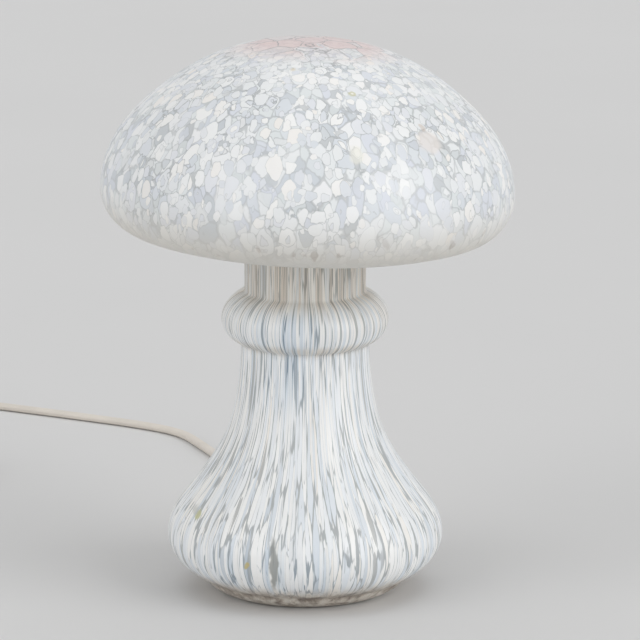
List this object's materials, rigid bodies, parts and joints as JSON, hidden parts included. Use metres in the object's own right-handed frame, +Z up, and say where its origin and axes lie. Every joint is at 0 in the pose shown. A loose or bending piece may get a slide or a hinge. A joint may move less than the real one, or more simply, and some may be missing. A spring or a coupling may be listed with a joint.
{
  "type": "mushroom table lamp",
  "caption": "Blown murrine glass table lamp: domed mushroom cap on a ringed stem that flares into a hollow belly, with bulb, corded rocker switch and plug.",
  "frame": {"origin": "centre of the ground foot ring, on the table", "axes": "+Z up along the stem; the front is -Y; the cord leaves the belly at +Y"},
  "size_m": [0.4173, 0.5443, 0.3104],
  "materials": {
    "murrine_glass": "glossy blown opal glass with chips in whites, pale blue-greys, lavender and cream, semi-clear between them",
    "soft_ring": "matt, pale grey",
    "spun_steel": "zinc-plated",
    "brass": "bare brass",
    "white_plastic": "satin",
    "holder_plastic": "satin, heat-resistant",
    "holder_ceramic": "matt, unglazed",
    "steel_screw": "zinc-plated",
    "bulb_opal": "satin opal",
    "bulb_aluminium": "rolled",
    "bulb_black_glass": "glossy black",
    "bulb_solder": "dull solder",
    "bulb_clear_glass": "clear",
    "tungsten": "dark",
    "core_plastic": "matt",
    "cord_plastic": "smooth, matt, greyish cream",
    "grommet_rubber": "matt, greyish cream",
    "switch_plastic": "satin, greyish cream",
    "rocker_plastic": "glossy",
    "plug_plastic": "satin, greyish cream",
    "pin_nickel": "nickel-plated"
  },
  "bodies": {
    "base": {"glass_base": "murrine_glass", "neck_gasket": "soft_ring", "cap_seat_ring": "soft_ring", "clamp_pads": "soft_ring", "carrier_plate": "spun_steel", "plate_skirt": "spun_steel", "cap_collar": "spun_steel", "clamp_bar": "spun_steel", "threaded_tube": "spun_steel", "tube_nuts": "steel_screw", "tube_washers": "steel_screw", "cord_bush": "white_plastic", "holder_cap": "holder_plastic", "holder_insert": "holder_ceramic", "terminal_screws": "steel_screw", "thread_sleeve": "brass", "centre_contact": "brass", "holder_shell": "holder_plastic", "lead_wires": "core_plastic", "inner_cord": "cord_plastic", "cord_grommet": "grommet_rubber", "cord_to_switch": "cord_plastic", "cord_from_switch": "cord_plastic", "cord_coil": "cord_plastic", "cord_tail": "cord_plastic", "switch_base": "switch_plastic", "switch_cover": "switch_plastic", "switch_screws": "steel_screw", "switch_contacts": "brass", "plug_body": "plug_plastic", "plug_pins": "pin_nickel", "plug_pin_sleeves": "plug_plastic"},
    "cap": {"glass_cap": "murrine_glass"},
    "bulb": {"bulb_glass": "bulb_opal", "bulb_screw_cap": "bulb_aluminium", "bulb_insulator": "bulb_black_glass", "bulb_tip": "bulb_solder", "bulb_stem": "bulb_clear_glass", "bulb_filament": "tungsten"},
    "rocker": {"switch_rocker": "rocker_plastic", "rocker_bridge": "brass"}
  },
  "joints": [
    {"name": "cap_lift", "type": "slide", "parent": "base", "child": "cap", "axis": [0, 0, 1], "range_m": [0, 0.1]},
    {"name": "bulb_unscrew", "type": "slide", "parent": "base", "child": "bulb", "axis": [0, 0, 1], "range_m": [0, 0.015]},
    {"name": "rocker_tilt", "type": "hinge", "parent": "base", "child": "rocker", "pos_m": [-0.284, 0.336, 0.0136], "axis": [1, 0, 0], "range_deg": [0, 16]}
  ]
}
